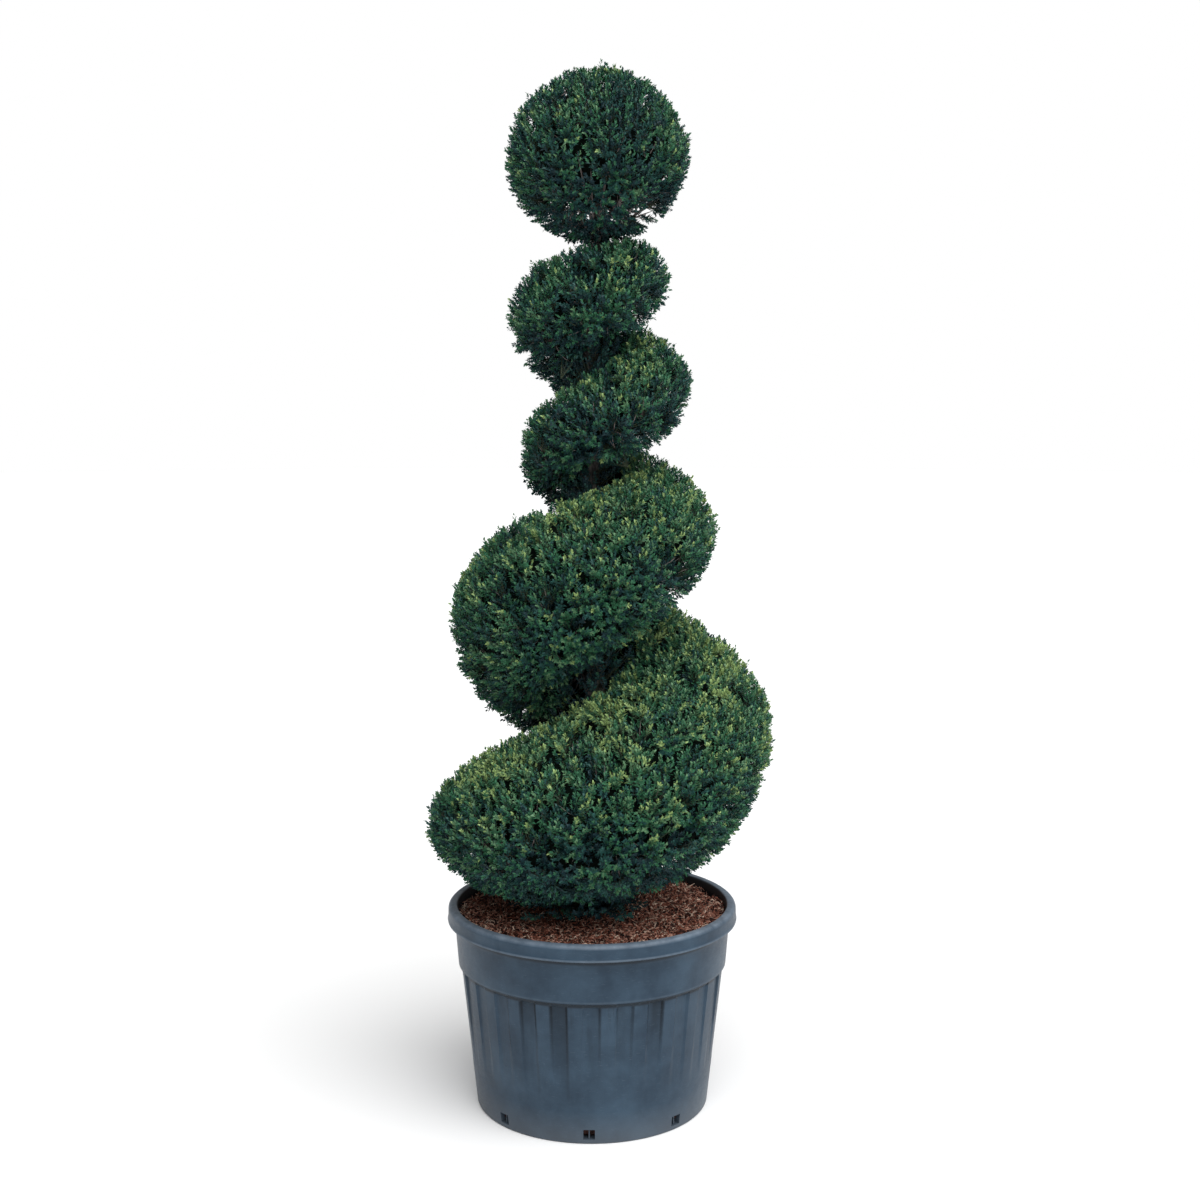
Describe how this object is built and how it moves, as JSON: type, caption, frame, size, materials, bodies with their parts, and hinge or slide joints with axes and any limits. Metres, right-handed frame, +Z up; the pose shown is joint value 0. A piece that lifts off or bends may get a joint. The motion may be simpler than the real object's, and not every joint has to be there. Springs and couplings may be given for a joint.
{
  "type": "spiral topiary in a pot",
  "caption": "Tall evergreen shrub clipped into a rising spiral with a ball on top, standing in a round fluted nursery pot topped with bark mulch.",
  "frame": {"origin": "centre of the pot's flat underside", "axes": "+Z up along the trunk, -Y towards the front, +X to the right seen from the front"},
  "size_m": [0.9467, 0.9017, 2.7938],
  "materials": {
    "pot": "moulded slate-grey polypropylene, satin, scuffed and water-streaked",
    "mulch": "shredded reddish-brown bark, rough and matt",
    "bark": "thin grey-brown bark, finely fissured",
    "leaf": "small dark evergreen leaves with a dull shine and yellow-green young tips"
  },
  "bodies": {
    "root": {"pot": "pot", "mulch": "mulch", "trunk": "bark", "bough_01": "bark", "bough_02": "bark", "bough_03": "bark", "bough_04": "bark", "bough_05": "bark", "bough_06": "bark", "bough_07": "bark", "bough_08": "bark", "bough_09": "bark", "bough_10": "bark", "bough_11": "bark", "bough_12": "bark", "bough_13": "bark", "bough_14": "bark", "spiral_mass_01": "leaf", "spiral_mass_02": "leaf", "spiral_mass_03": "leaf", "spiral_mass_04": "leaf", "spiral_mass_05": "leaf", "spiral_mass_06": "leaf", "spiral_mass_07": "leaf", "spiral_mass_08": "leaf", "spiral_mass_09": "leaf", "spiral_mass_10": "leaf", "spiral_mass_11": "leaf", "spiral_mass_12": "leaf", "spiral_mass_13": "leaf", "spiral_mass_14": "leaf", "top_ball": "leaf"}
  },
  "joints": []
}
